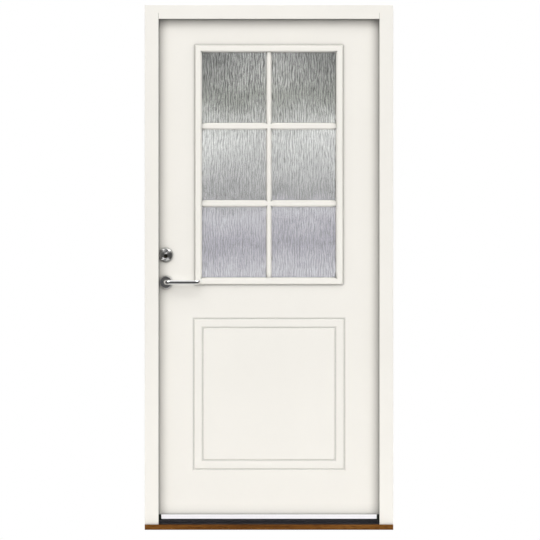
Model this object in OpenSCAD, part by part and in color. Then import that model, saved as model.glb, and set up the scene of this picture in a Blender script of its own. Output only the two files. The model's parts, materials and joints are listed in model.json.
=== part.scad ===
// Panelled front door in its frame: an insulated leaf with a six-light window over a grooved panel,
// hung on three lift-off hinges to open inwards, with a mortice lock, lever handles and a hardwood sill.
// Outside faces -Y, inside faces +Y, +Z is up. The origin is under the middle of the sill.

/* [Frame] */
// Outer width of the frame
frame_w = 990; // [860:10:1190]
// Outer height of the frame, sill included
frame_h = 2090; // [2000:10:2390]
// Depth of the frame from outside to inside
frame_d = 105; // [100:1:140]
// Width of the frame members seen from outside
frame_face = 55; // [52:1:64]
// How far the stop stands out past the rebate
rebate_step = 25; // [22:1:28]
// Chamfer on the painted edges of the frame
frame_arris = 1.5; // [0.5:0.5:3]
// Radius of the holes for the wall fixings
fixing_r = 7; // [4:0.5:8]
// Distance from the frame's ends to the outermost wall fixings
fixing_end = 145; // [120:5:200]

/* [Sill] */
// Height of the hardwood sill
sill_h = 21; // [18:1:30]
// How far the sill stands out past the frame
sill_nose = 10; // [8:1:25]
// Rounding of the sill's upper front edge
sill_round = 5; // [2:0.5:7]

/* [Threshold rail] */
// Height of the rail's upstand above the sill
rail_h = 19; // [16:1:21]
// Thickness of the rail's walls
rail_wall = 2.5; // [2:0.25:3]
// Thickness of the rail's back flange
rail_base_t = 3; // [2:0.5:4]
// Width of the upstand from front to back
upstand_w = 20; // [14:1:22]
// Height of the rail's sloping front at the upstand
apron_h = 9; // [6:1:12]

/* [Leaf] */
// Thickness of the leaf
leaf_t = 62; // [56:1:66]
// Gap between the leaf and the rebate
leaf_gap = 4; // [3:0.5:5]
// Gap between the leaf and the stop, which the seal fills
seal_gap = 4; // [3:0.5:6]
// Thickness of the outer and inner skins
skin_t = 6; // [4:0.5:8]
// Width of the stiles inside the leaf
stile_w = 95; // [92:1:120]
// Height of the top rail inside the leaf
top_rail_h = 60; // [40:1:80]
// Height of the bottom rail inside the leaf
bottom_rail_h = 100; // [80:1:140]
// Height of the dark profile along the foot of the leaf
foot_h = 34; // [32:1:45]
// Thickness of that profile under the leaf
foot_t = 6; // [4:0.5:8]

/* [Grooved panel] */
// Side of the outer square groove
panel_side = 600; // [450:5:680]
// Distance from the outer groove to the inner one
panel_step = 36; // [20:1:60]
// Height of the panel's centre
panel_z = 541; // [480:1:580]
// Width of a groove
groove_w = 10; // [6:1:14]
// Depth of a groove
groove_depth = 3.2; // [2:0.2:3.6]

/* [Window] */
// Width of the glass seen between the beads
lite_w = 534; // [440:2:640]
// Height of the glass seen between the beads
lite_h = 898; // [700:2:960]
// Distance from the leaf's top down to the window's centre
lite_drop = 602; // [580:1:640]
// Number of panes across
pane_columns = 2; // [2:1:3]
// Number of panes down
pane_rows = 3; // [2:1:4]
// Width of the beads round the glass
bead_w = 29.5; // [28:0.5:36]
// How far the beads stand out from the leaf
bead_proud = 10; // [8:0.5:14]
// Width of the bead's slope towards the glass
bead_bevel = 5.5; // [2:0.5:6]
// Width of the glazing bars
bar_w = 26; // [18:1:32]
// Width of the slopes along the glazing bars
bar_bevel = 5; // [2:0.5:6]
// Thickness of each pane
pane_t = 4; // [3:0.5:6]
// Space between two panes
cavity = 12; // [10:1:14]
// Glass hidden behind a bead
glass_cover = 9; // [8:0.5:10]
// Gap round the sealed unit
glass_gap = 6; // [5:0.5:7]
// Thickness of the glazing seals
glazing_seal_t = 2; // [1:0.5:3]

/* [Drip strip] */
// Distance from the strip's ends to the jambs
drip_end = 11; // [9:1:30]
// Height of its front face
drip_h = 17.5; // [14:0.5:17.5]
// How far it stands out from the leaf
drip_out = 22; // [16:1:26]
// Wall thickness of the strip
drip_wall = 2; // [1.5:0.25:3]

/* [Lock and handles] */
// Height of the lever's axis
handle_z = 986; // [960:1:1000]
// Distance from the leaf's edge to the lever's axis
backset = 50; // [49:1:56]
// Distance from the lever's axis up to the key plug
lock_centres = 104; // [103:1:115]
// Radius of the lever's round bar
lever_r = 9.5; // [8:0.25:10]
// Reach of the lever from its axis to its far end
lever_reach = 138; // [120:1:145]
// Distance from the leaf to the middle of the lever
lever_out = 52; // [48:1:60]
// Radius of the roses
rose_r = 25; // [24:0.5:26]
// Radius of the ring round the key cylinder
ring_r = 26; // [25:0.5:27]
// Travel of the latch
latch_throw = 12; // [10:0.5:13]
// Travel of the dead bolt
bolt_throw = 20; // [16:0.5:20]

/* [Hinges] */
// Height of a hinge
hinge_h = 110; // [90:2:140]
// Distance from the leaf's ends to the outer hinges' centres
hinge_end = 230; // [180:5:300]
// Radius of the knuckles
knuckle_r = 8; // [7:0.25:8.5]
// Radius of the hinge pins
pin_r = 4; // [3:0.25:5]
// Thickness of the hinge plates
plate_t = 3; // [2.5:0.25:3.5]
// Width of the hinge plates
plate_w = 34; // [30:1:40]

/* [Hidden] */
$fn = 64;

// Clearances: a fixed fit, a running fit, a sliding fit and a cut that passes right through
fixed_fit = 0.02;
running_fit = 0.05;
sliding_fit = 0.3;
through = 1;

// Colours
cream = [0.95, 0.94, 0.91];
white_metal = [0.98, 0.98, 0.98];
hardwood = [0.42, 0.25, 0.09];
dark_metal = [0.17, 0.17, 0.18];
black_rubber = [0.08, 0.08, 0.08];
steel = [0.62, 0.62, 0.61];
pine = [0.80, 0.66, 0.45];
foam = [0.92, 0.86, 0.66];
clear_glass = [0.72, 0.78, 0.76, 0.5];

// Frame planes: the visible opening, the rebate, the stop and the leaf's faces
half_w = frame_w / 2;
y_out = -frame_d / 2;
y_in = frame_d / 2;
x_open = half_w - frame_face;
x_rebate = x_open + rebate_step;
z_head = frame_h - frame_face;
z_head_rebate = z_head + rebate_step;
y_leaf = y_in - leaf_t;
y_mid = y_in - leaf_t / 2;
y_stop = y_leaf - seal_gap;

// Leaf edges
leaf_x = x_rebate - leaf_gap;
leaf_z1 = z_head_rebate - leaf_gap;
leaf_z0 = sill_h + rail_base_t + leaf_gap;
core_y0 = y_leaf + skin_t;
core_y1 = y_in - skin_t;
core_z0 = leaf_z0 + foot_t;
stile_x = leaf_x - stile_w;

// Seals: a round bulb on a stem that is pushed into a groove
bulb_r = 4;
bulb_d = seal_gap - sliding_fit;
stem_w = 3;
stem_d = 5;
stem_lip = 1.5;
seal_x = (x_open + leaf_x) / 2;
seal_z = (z_head + leaf_z1) / 2;
rail_top = sill_h + rail_h;
rail_seal_z = (leaf_z0 + rail_top) / 2;

// Threshold rail: where its sloping front starts, and the height of that front's own edge
apron_y = y_out + 2.5;
apron_edge = 3;
upstand_y = y_stop - upstand_w;
kerf = 4;

// How far the groove cutter starts outside the face, and the strip's drop below the foot profile's top
groove_rise = 0.5;
drip_drop = 0.5;

// Window planes and sizes
lite_z = leaf_z1 - lite_drop;
bead_w2 = lite_w / 2 + bead_w;
bead_h2 = lite_h / 2 + bead_w;
glass_w = lite_w + 2 * glass_cover;
glass_h = lite_h + 2 * glass_cover;
cut_w = glass_w + 2 * glass_gap;
cut_h = glass_h + 2 * glass_gap;
unit_t = 3 * pane_t + 2 * cavity;
y_glass_out = y_mid - unit_t / 2;
y_glass_in = y_mid + unit_t / 2;

// Beads, bars and what holds the glass
bead_lip = bead_w - glass_cover - glass_gap + sliding_fit;
bead_foot = 1;
bead_slope = 5;
bead_splay = 8;
bar_drop = bead_splay;
bar_splay = 0.45;
spacer_w = 8;
block_len = 100;
block_w = 30;
block_x = glass_w / 3;
glazing_screw_r = 1.75;
glazing_head_r = 3.5;
glazing_head_t = 2.5;
glazing_screw_u = bead_w - glass_cover - glass_gap / 2;
glazing_screw_bite = 10;
side_screw_z = [-0.39, -0.13, 0.13, 0.39];
cross_screw_x = [-0.15, 0.15];

// Lock places: the axis, the forend and the case
lock_x = -leaf_x + backset;
plug_z = handle_z + lock_centres;
forend_t = 3;
forend_w = 24;
forend_end = 65;
case_x0 = -leaf_x + forend_t;
case_rear = 37;
case_x1 = lock_x + case_rear;
case_t = 20;
case_wall = 2;
case_end = 50;
case_y0 = y_mid - case_t / 2;
case_y1 = y_mid + case_t / 2;

// Follower and latch, which lie in the middle of the case
hub_r = 10;
arm_w = 8;
arm_reach = 20;
arm_t = 6;
arm_play = 1;
square_w = 8;
latch_w = 14;
latch_h = 20;
latch_z = handle_z + 30;
latch_rear = 21;
latch_land = 0.5;
tail_h = 12;
tail_end = 6;

// Dead bolt, the cam whose pin throws it, and the flat tails that turn the cam
bolt_h = 28;
bolt_w = 14;
bolt_top = 12;
bolt_rear = 31;
bolt_tail_t = 4;
bolt_tail_y = y_mid - 6.5;
cam_r = 9;
cam_pin_r = 3;
cam_pin_reach = bolt_throw / sqrt(2);
cam_play = 0.7;
cam_clear = 0.5;
cam_plate_t = 4;
cam_plate_y = y_mid - 1.5;
tail_w = 7;
tail_t = 2;
tail_pocket_r = 5.2;

// Roses, their bolts and the levers
rose_t = 8.5;
rose_edge = 6.5;
rose_slope = 2;
rose_bite = 5;
rose_bolt_x = 15.5;
bolt_r = 2.5;
bolt_head_r = 4.5;
bolt_head_t = 3;
bolt_hole_r = 3;
spindle_hole_r = 8;
lever_bend = 14;
return_bend = 12;
return_len = 6;
lever_tip = 2;
socket_d = 34;

// Key cylinder and thumb turn
ring_t = 13;
ring_edge = 10;
ring_slope = 3;
oval_r = 12;
oval_rise = 9;
ring_z = plug_z + oval_rise / 2;
cylinder_inset = 2;
plug_r = 7.5;
plug_inset = 3;
key_slot_w = 2.2;
key_slot_h = 9;
key_slot_d = 22;
cylinder_bolt_x = 7.8;
cylinder_bolt_z = plug_z + oval_rise + 2;
turn_stem_r = 6;
turn_collar_r = 13;
turn_collar_t = 5;
turn_wing_t = 9;
turn_wing_r = 19;
turn_wing_d = 19;

// Strike: its plate and the pockets behind it
strike_t = 2.5;
strike_front = 14;
strike_end = 22;
strike_play = 1.5;
pocket_spare = 4;

// Hinge pin axis, hinge heights and the plates' screws
pin_x = leaf_x + leaf_gap / 2;
pin_y = y_in + knuckle_r + 1;
hinge_zs = [leaf_z1 - hinge_end, (leaf_z0 + leaf_z1) / 2, leaf_z0 + hinge_end];
knuckle_gap = 1;
pin_up = hinge_h / 2 - 15;
pin_down = hinge_h / 2 - 5;
plate_screw_y = [y_in - 8, y_in - plate_w + 8];
plate_screw_z = [-0.32, 0.32];
screw_r = 2.3;
screw_head_r = 4.4;
screw_head_t = 2.2;
jamb_screw_len = 25;
leaf_screw_len = 40;

// Wall fixings: four in each jamb, evenly spaced
fixing_y = (y_stop + y_in - plate_w) / 2;
fixing_zs = [for (i = [0:3]) fixing_end + i * (frame_h - 2 * fixing_end) / 3];

// A box between two corners
module box(low, high) {
    translate(low) cube(high - low);
}

// A profile of [y, z] points extruded along X
module along_x(x0, x1) {
    translate([x0, 0, 0]) rotate([90, 0, 90]) linear_extrude(x1 - x0) children();
}

// A profile of [x, z] points extruded along Y
module along_y(y0, y1) {
    translate([0, y1, 0]) rotate([90, 0, 0]) linear_extrude(y1 - y0) children();
}

// A profile of [x, y] points extruded along Z
module along_z(z0, z1) {
    translate([0, 0, z0]) linear_extrude(z1 - z0) children();
}

// A round bar along Y
module rod_y(x, z, r, y0, y1) {
    translate([x, y0, z]) rotate([-90, 0, 0]) cylinder(r = r, h = y1 - y0);
}

// A round bar along X
module rod_x(y, z, r, x0, x1) {
    translate([x0, y, z]) rotate([0, 90, 0]) cylinder(r = r, h = x1 - x0);
}

// Points of an arc from angle a0 to a1
function arc(cx, cy, r, a0, a1, steps = 6) =
    [for (i = [0:steps]) let (a = a0 + (a1 - a0) * i / steps) [cx + r * cos(a), cy + r * sin(a)]];

// An upright oval prism for the key cylinder, grown by a clearance
module oval(y0, y1, grow = 0) {
    rod_y(lock_x, plug_z, oval_r + grow, y0, y1);
    rod_y(lock_x, plug_z + oval_rise, oval_r + grow, y0, y1);
    box([lock_x - oval_r - grow, y0, plug_z], [lock_x + oval_r + grow, y1, plug_z + oval_rise]);
}

// A countersunk screw along +X with its head's face at x = 0, grown for its hole
module screw(len, grow = 0) {
    cylinder_x(screw_head_r + grow, screw_r + grow, 0, screw_head_t);
    cylinder_x(screw_r + grow, screw_r + grow, screw_head_t, len);
}

module cylinder_x(r1, r2, x0, x1) {
    translate([x0, 0, 0]) rotate([0, 90, 0]) cylinder(r1 = r1, r2 = r2, h = x1 - x0);
}

// One mitred side of a rectangular frame centred on height z: 0 foot, 1 right, 2 top, 3 left.
// The children are a profile of [y, u] points, with u counted inwards from the outer edge.
module frame_side(w, h, z, side, reach) {
    along = side % 2 == 0 ? w : h;
    across = side % 2 == 0 ? h : w;
    translate([0, 0, z]) rotate([0, -90 * side, 0]) translate([0, 0, -across / 2]) intersection() {
        along_x(-along / 2, along / 2) children();
        along_y(-frame_d, frame_d)
            polygon([[-along / 2, 0], [along / 2, 0], [along / 2 - reach, reach],
                     [reach - along / 2, reach]]);
    }
}

// Frame members

module jamb_blank() {
    a = frame_arris;
    difference() {
        along_z(sill_h, z_head_rebate) polygon([
            [x_open, y_out + a], [x_open + a, y_out], [half_w - a, y_out], [half_w, y_out + a],
            [half_w, y_in - a], [half_w - a, y_in], [x_rebate + a, y_in], [x_rebate, y_in - a],
            [x_rebate, y_stop], [x_open, y_stop]
        ]);
        box([seal_x - stem_w / 2, y_stop - stem_d, sill_h - through],
            [seal_x + stem_w / 2, y_stop + through, z_head_rebate + through]);
        for (z = fixing_zs) rod_x(fixing_y, z, fixing_r, x_open, half_w + through);
    }
}

module hinge_jamb() {
    color(cream) difference() {
        jamb_blank();
        for (z = hinge_zs) {
            box([x_rebate - through, y_in - plate_w, z - hinge_h / 2],
                [x_rebate + plate_t, y_in + through, z + hinge_h / 2]);
            jamb_plate_screws(z, fixed_fit);
        }
    }
}

module lock_jamb() {
    color(cream) difference() {
        mirror([1, 0, 0]) jamb_blank();
        box([-x_rebate - strike_t, y_mid - strike_front, strike_z0()],
            [-x_rebate + through, y_in + through, strike_z1()]);
        latch_pocket(-x_rebate - latch_throw - pocket_spare);
        bolt_pocket(-x_rebate - bolt_throw - pocket_spare);
        strike_screws(fixed_fit);
    }
}

module head() {
    a = frame_arris;
    color(cream) difference() {
        union() {
            along_x(-half_w, half_w) polygon([
                [y_out + a, frame_h], [y_out, frame_h - a], [y_out, z_head_rebate],
                [y_in - a, z_head_rebate], [y_in, z_head_rebate + a], [y_in, frame_h - a],
                [y_in - a, frame_h]
            ]);
            along_x(-x_open, x_open) polygon([
                [y_out, z_head_rebate], [y_out, z_head + a], [y_out + a, z_head], [y_stop, z_head],
                [y_stop, z_head_rebate]
            ]);
        }
        box([-x_open - through, y_stop - stem_d, seal_z - stem_w / 2],
            [x_open + through, y_stop + through, seal_z + stem_w / 2]);
    }
}

module sill() {
    front = y_out - sill_nose;
    color(hardwood) difference() {
        along_x(-half_w, half_w) polygon(concat(
            [[front + kerf / 2, 0], [front, kerf / 2]],
            arc(front + sill_round, sill_h - sill_round, sill_round, 180, 90),
            [[y_in, sill_h], [y_in, 0]]
        ));
        box([-half_w - through, front + kerf, -through], [half_w + through, front + 2 * kerf, kerf / 2]);
    }
}

module threshold_rail() {
    w = rail_wall;
    color(dark_metal) difference() {
        along_x(-x_rebate, x_rebate) polygon([
            [apron_y, sill_h], [apron_y, sill_h + apron_edge], [upstand_y, sill_h + apron_h],
            [upstand_y, rail_top - 1], [upstand_y + 1, rail_top], [y_stop, rail_top],
            [y_stop, sill_h + rail_base_t], [y_in - frame_arris, sill_h + rail_base_t],
            [y_in - frame_arris, sill_h]
        ]);
        box([-x_rebate - through, upstand_y + w, sill_h + w],
            [x_rebate + through, y_stop - w, rail_top - w]);
        for (s = [-1, 1])
            translate([s * (x_open + frame_face / 2), 0, 0])
                box([-frame_face / 2, y_out - through, sill_h - through],
                    [frame_face / 2, y_stop, rail_top + through]);
        box([-x_rebate, y_stop - w - through, rail_seal_z - stem_w / 2],
            [x_rebate, y_stop + through, rail_seal_z + stem_w / 2]);
    }
}

// A half-round seal bulb lying on the stop's face, along Z or along X
module bulb_z(x, z0, z1) {
    intersection() {
        translate([x, y_stop + bulb_d - bulb_r, z0]) cylinder(r = bulb_r, h = z1 - z0);
        box([x - bulb_r - through, y_stop, z0 - through], [x + bulb_r + through, y_leaf, z1 + through]);
    }
}

module bulb_x(z, x0, x1) {
    intersection() {
        rod_x(y_stop + bulb_d - bulb_r, z, bulb_r, x0, x1);
        box([x0 - through, y_stop, z - bulb_r - through], [x1 + through, y_leaf, z + bulb_r + through]);
    }
}

module frame_seals() {
    foot = sill_h + rail_base_t;
    side = seal_x - bulb_r;
    color(black_rubber) {
        for (s = [-1, 1]) {
            bulb_z(s * seal_x, foot, seal_z + bulb_r);
            box([s * seal_x - stem_w / 2, y_stop - stem_d, foot],
                [s * seal_x + stem_w / 2, y_stop, seal_z + bulb_r]);
        }
        bulb_x(seal_z, -side, side);
        box([-x_open, y_stop - stem_d, seal_z - stem_w / 2], [x_open, y_stop, seal_z + stem_w / 2]);
    }
}

module threshold_seal() {
    side = seal_x - bulb_r;
    color(black_rubber) {
        bulb_x(rail_seal_z, -side, side);
        box([-x_open, y_stop - rail_wall - stem_lip, rail_seal_z - stem_w / 2],
            [x_open, y_stop, rail_seal_z + stem_w / 2]);
    }
}

// Strike plate on the lock jamb, with the mouths that the latch and the dead bolt enter

function strike_z0() = latch_z - latch_h / 2 - strike_end;
function strike_z1() = plug_z - bolt_top + strike_end;

module latch_pocket(x0) {
    box([x0, y_mid - latch_w / 2 - strike_play, latch_z - latch_h / 2 - strike_play],
        [-x_rebate + through, y_mid + latch_w / 2 + sliding_fit, latch_z + latch_h / 2 + strike_play]);
}

module bolt_pocket(x0) {
    z1 = plug_z - bolt_top;
    box([x0, y_mid - bolt_w / 2 - strike_play, z1 - bolt_h - strike_play],
        [-x_rebate + through, y_mid + bolt_w / 2 + strike_play, z1 + strike_play]);
}

module strike_screws(grow = 0) {
    for (z = [strike_z0() + strike_end / 2 - 1, strike_z1() - strike_end / 2 + 1])
        translate([-x_rebate, y_mid, z]) mirror([1, 0, 0]) screw(jamb_screw_len, grow);
}

module strike_plate() {
    color(steel) difference() {
        box([-x_rebate - strike_t, y_mid - strike_front, strike_z0()], [-x_rebate, y_in, strike_z1()]);
        latch_pocket(-x_rebate - strike_t - through);
        bolt_pocket(-x_rebate - strike_t - through);
        strike_screws(fixed_fit);
    }
}

// Lift-off hinges: the frame half carries the pin, the leaf half lifts off it

module jamb_plate_screws(z, grow = 0) {
    for (y = plate_screw_y, dz = plate_screw_z)
        translate([x_rebate, y, z + dz * hinge_h]) screw(jamb_screw_len, grow);
}

module leaf_plate_screws(z, grow = 0) {
    for (y = plate_screw_y, dz = plate_screw_z)
        translate([leaf_x, y, z + dz * hinge_h]) mirror([1, 0, 0]) screw(leaf_screw_len, grow);
}

module hinge_frame_half(z) {
    color(steel) difference() {
        union() {
            box([x_rebate, y_in - plate_w, z - hinge_h / 2], [x_rebate + plate_t, y_in, z + hinge_h / 2]);
            box([x_rebate, y_in - through, z - hinge_h / 2],
                [x_rebate + plate_t, pin_y, z - knuckle_gap / 2]);
            translate([pin_x, pin_y, z - hinge_h / 2])
                cylinder(r = knuckle_r, h = hinge_h / 2 - knuckle_gap / 2);
        }
        translate([pin_x, pin_y, z - pin_down]) cylinder(r = pin_r + fixed_fit, h = pin_down + through);
        jamb_plate_screws(z, fixed_fit);
    }
}

module hinge_leaf_half(z) {
    color(steel) difference() {
        union() {
            box([leaf_x - plate_t, y_in - plate_w, z - hinge_h / 2], [leaf_x, y_in, z + hinge_h / 2]);
            box([leaf_x - plate_t, y_in - through, z + knuckle_gap / 2],
                [leaf_x, pin_y, z + hinge_h / 2]);
            translate([pin_x, pin_y, z + knuckle_gap / 2])
                cylinder(r = knuckle_r, h = hinge_h / 2 - knuckle_gap / 2);
        }
        translate([pin_x, pin_y, z - through])
            cylinder(r = pin_r + running_fit, h = pin_up + 2 * through);
        leaf_plate_screws(z, fixed_fit);
    }
}

// Each pin has a collar that fills the gap between the knuckles and carries the leaf
module hinge_pins() {
    color(steel) for (z = hinge_zs) translate([pin_x, pin_y, z]) {
        translate([0, 0, -pin_down]) cylinder(r = pin_r, h = pin_down + pin_up);
        translate([0, 0, -knuckle_gap / 2]) cylinder(r = knuckle_r - 1, h = knuckle_gap);
    }
}

module frame_screws() {
    color(steel) {
        for (z = hinge_zs) jamb_plate_screws(z);
        strike_screws();
    }
}

// Leaf: skins on a timber frame with an insulating core

module window_cut(y0, y1) {
    box([-cut_w / 2, y0, lite_z - cut_h / 2], [cut_w / 2, y1, lite_z + cut_h / 2]);
}

// Two square V grooves cut into a face at height y, going in along dir
module panel_grooves(y, dir) {
    flare = groove_rise * groove_w / groove_depth / 2;
    for (side_len = [panel_side, panel_side - 2 * panel_step], side = [0:3])
        frame_side(side_len + groove_w, side_len + groove_w, panel_z, side, 2 * groove_w)
            polygon([[y - dir * groove_rise, -flare], [y + dir * groove_depth, groove_w / 2],
                     [y - dir * groove_rise, groove_w + flare]]);
}

module rose_bolts(grow = 0) {
    for (s = [-1, 1])
        rod_y(lock_x + s * rose_bolt_x, handle_z, bolt_r + grow, y_leaf - rose_bite, y_in + rose_t);
}

module cylinder_bolts(grow = 0) {
    for (s = [-1, 1])
        rod_y(lock_x + s * cylinder_bolt_x, cylinder_bolt_z, bolt_r + grow, y_leaf, y_in + rose_t);
}

// A bolt's head, sunk into an inside rose
module bolt_head(x, z, grow = 0) {
    top = y_in + rose_t;
    rod_y(x, z, bolt_head_r + grow, top - bolt_head_t, top + (grow > 0 ? through : 0));
}

// Everything that the lock furniture needs bored through the leaf
module lock_bores() {
    grow = bolt_hole_r - bolt_r;
    rose_bolts(grow);
    rod_y(lock_x, handle_z, spindle_hole_r, y_leaf - through, y_in + through);
    oval(y_leaf - through, case_y0 + through, sliding_fit);
    rod_y(lock_x, plug_z, turn_stem_r + 2, case_y1 - through, y_in + through);
    for (s = [-1, 1])
        rod_y(lock_x + s * cylinder_bolt_x, cylinder_bolt_z, bolt_hole_r,
              case_y1 - through, y_in + through);
}

module hinge_mortices() {
    for (z = hinge_zs) {
        box([leaf_x - plate_t, y_in - plate_w, z - hinge_h / 2],
            [leaf_x + through, y_in + through, z + hinge_h / 2]);
        leaf_plate_screws(z, fixed_fit);
    }
}

module outer_skin() {
    color(cream) difference() {
        box([-leaf_x, y_leaf, leaf_z0 + foot_h], [leaf_x, core_y0, leaf_z1]);
        window_cut(y_leaf - through, core_y0 + through);
        panel_grooves(y_leaf, 1);
        lock_bores();
    }
}

module inner_skin() {
    color(cream) difference() {
        box([-leaf_x, core_y1, leaf_z0], [leaf_x, y_in, leaf_z1]);
        window_cut(core_y1 - through, y_in + through);
        panel_grooves(y_in, -1);
        lock_bores();
        hinge_mortices();
    }
}

module lock_stile() {
    color(pine) difference() {
        box([-leaf_x, core_y0, core_z0], [-stile_x, core_y1, leaf_z1]);
        box([-leaf_x - through, y_mid - forend_w / 2, handle_z - forend_end],
            [-leaf_x + forend_t, y_mid + forend_w / 2, plug_z + forend_end]);
        box([-leaf_x - through, case_y0 - sliding_fit, handle_z - case_end - sliding_fit],
            [case_x1 + sliding_fit, case_y1 + sliding_fit, plug_z + case_end + sliding_fit]);
        forend_screws(fixed_fit);
        lock_bores();
    }
}

module hinge_stile() {
    color(pine) difference() {
        box([stile_x, core_y0, core_z0], [leaf_x, core_y1, leaf_z1]);
        hinge_mortices();
    }
}

module top_rail() {
    color(pine) box([-stile_x, core_y0, leaf_z1 - top_rail_h], [stile_x, core_y1, leaf_z1]);
}

module bottom_rail() {
    color(pine) box([-stile_x, core_y0, core_z0], [stile_x, core_y1, core_z0 + bottom_rail_h]);
}

module insulation_core() {
    color(foam) difference() {
        box([-stile_x, core_y0, core_z0 + bottom_rail_h], [stile_x, core_y1, leaf_z1 - top_rail_h]);
        window_cut(core_y0 - through, core_y1 + through);
    }
}

module foot_profile() {
    color(dark_metal) along_x(-leaf_x, leaf_x) polygon([
        [y_leaf, leaf_z0], [core_y1, leaf_z0], [core_y1, core_z0], [core_y0, core_z0],
        [core_y0, leaf_z0 + foot_h], [y_leaf, leaf_z0 + foot_h]
    ]);
}

module drip_strip() {
    w = drip_wall;
    top = leaf_z0 + foot_h - drip_drop;
    front = y_leaf - drip_out;
    color(white_metal) along_x(drip_end - x_open, x_open - drip_end) polygon(concat(
        [[y_leaf, top]], arc(front + w, top - w, w, 90, 180),
        [[front, top - drip_h], [front + w, top - drip_h], [front + w, top - w], [y_leaf - w, top - w],
         [y_leaf - w, top - drip_h + w], [y_leaf, top - drip_h + w]]
    ));
}

// Window: a sealed unit of three panes between beads, with bars on both faces

module pane(y0) {
    color(clear_glass)
        box([-glass_w / 2, y0, lite_z - glass_h / 2], [glass_w / 2, y0 + pane_t, lite_z + glass_h / 2]);
}

module outer_pane() pane(y_glass_out);
module middle_pane() pane(y_glass_out + pane_t + cavity);
module inner_pane() pane(y_glass_in - pane_t);

// A flat rectangular ring round the window, given by its distances from the edge of the glass
module glass_ring(y0, y1, outer, inner) {
    difference() {
        box([outer - glass_w / 2, y0, lite_z - glass_h / 2 + outer],
            [glass_w / 2 - outer, y1, lite_z + glass_h / 2 - outer]);
        box([inner - glass_w / 2, y0 - through, lite_z - glass_h / 2 + inner],
            [glass_w / 2 - inner, y1 + through, lite_z + glass_h / 2 - inner]);
    }
}

module pane_spacers() {
    color(steel) for (i = [0, 1]) {
        y0 = y_glass_out + pane_t + i * (pane_t + cavity);
        glass_ring(y0, y0 + cavity, 0, spacer_w);
    }
}

module glazing_seals() {
    color(black_rubber) {
        glass_ring(y_glass_out - glazing_seal_t, y_glass_out, 1, glass_cover - 1);
        glass_ring(y_glass_in, y_glass_in + glazing_seal_t, 1, glass_cover - 1);
    }
}

module setting_blocks() {
    color(black_rubber) for (s = [-1, 1])
        box([s * block_x - block_len / 2, y_mid - block_w / 2, lite_z - cut_h / 2],
            [s * block_x + block_len / 2, y_mid + block_w / 2, lite_z - glass_h / 2]);
}

// A bead's section, from the leaf's face at y_face outwards along dir to the glass at y_glass inwards
module bead_section(y_face, y_glass, dir) {
    top = y_face + dir * bead_proud;
    polygon([
        [y_face, 0], [y_face + dir * bead_foot, 0], [top, bead_slope], [top, bead_w - bead_bevel],
        [top - dir * bead_splay, bead_w], [y_glass, bead_w], [y_glass, bead_lip], [y_face, bead_lip]
    ]);
}

module outer_beads(sides) {
    color(cream) difference() {
        for (side = sides) frame_side(2 * bead_w2, 2 * bead_h2, lite_z, side, bead_w + through)
            bead_section(y_leaf, y_glass_out - glazing_seal_t, -1);
        glazing_fixings(fixed_fit);
    }
}

module inner_beads(sides) {
    color(cream) difference() {
        for (side = sides) frame_side(2 * bead_w2, 2 * bead_h2, lite_z, side, bead_w + through)
            bead_section(y_in, y_glass_in + glazing_seal_t, 1);
        glazing_fixings(fixed_fit);
    }
}

module outer_side_beads() outer_beads([1, 3]);
module outer_cross_beads() outer_beads([0, 2]);
module inner_side_beads() inner_beads([1, 3]);
module inner_cross_beads() inner_beads([0, 2]);

// Long screws that draw the inner beads to the outer ones through the gap round the glass
module glazing_fixings(grow = 0) {
    u_x = bead_w2 - glazing_screw_u;
    u_z = bead_h2 - glazing_screw_u;
    for (s = [-1, 1]) {
        for (k = side_screw_z) glazing_screw(s * u_x, lite_z + k * lite_h, grow);
        for (k = cross_screw_x) glazing_screw(k * lite_w, lite_z + s * u_z, grow);
    }
}

module glazing_screw(x, z, grow) {
    seat = y_in + bead_proud - glazing_head_t;
    rod_y(x, z, glazing_screw_r + grow, y_leaf - bead_proud + glazing_screw_bite / 2, seat);
    rod_y(x, z, glazing_head_r + grow, seat, seat + glazing_head_t + (grow > 0 ? through : 0));
}

module glazing_screws() {
    color(steel) glazing_fixings();
}

// A glazing bar's section, standing on the glass, with its sides splayed in front
module bar_section(y_glass, y_front) {
    b = bar_bevel;
    y_side = y_front + bar_splay * (y_glass - y_front);
    polygon([
        [y_glass, -bar_w / 2], [y_side, -bar_w / 2], [y_front, b - bar_w / 2],
        [y_front, bar_w / 2 - b], [y_side, bar_w / 2], [y_glass, bar_w / 2]
    ]);
}

// Places of the bars, which leave equal lights between them
function bar_xs() = [for (i = [1:1:pane_columns - 1]) (lite_w + bar_w) * (i / pane_columns - 0.5)];
function bar_zs() =
    [for (i = [1:1:pane_rows - 1]) lite_z + (lite_h + bar_w) * (i / pane_rows - 0.5)];

module post_bar(x, y_glass, y_front) {
    translate([x, 0, lite_z]) rotate([0, 90, 0])
        along_x(-lite_h / 2, lite_h / 2) bar_section(y_glass, y_front);
}

module rail_bar(z, y_glass, y_front) {
    translate([0, 0, z]) along_x(-lite_w / 2, lite_w / 2) bar_section(y_glass, y_front);
}

// The posts are whole in front and halved behind, and the rails are scribed to them
module bar_posts(y_glass, y_front, dir) {
    half = (y_glass + y_front) / 2;
    color(cream) difference() {
        for (x = bar_xs()) post_bar(x, y_glass, y_front);
        for (z = bar_zs()) halving(z, half, y_glass - dir * through);
    }
}

module bar_rails(y_glass, y_front, dir) {
    half = (y_glass + y_front) / 2;
    color(cream) difference() {
        for (z = bar_zs()) rail_bar(z, y_glass, y_front);
        difference() {
            for (x = bar_xs()) post_bar(x, y_glass, y_front);
            for (z = bar_zs()) halving(z, half, y_glass - dir * through);
        }
    }
}

module halving(z, ya, yb) {
    box([-lite_w, min(ya, yb), z - bar_w / 2], [lite_w, max(ya, yb), z + bar_w / 2]);
}

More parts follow.
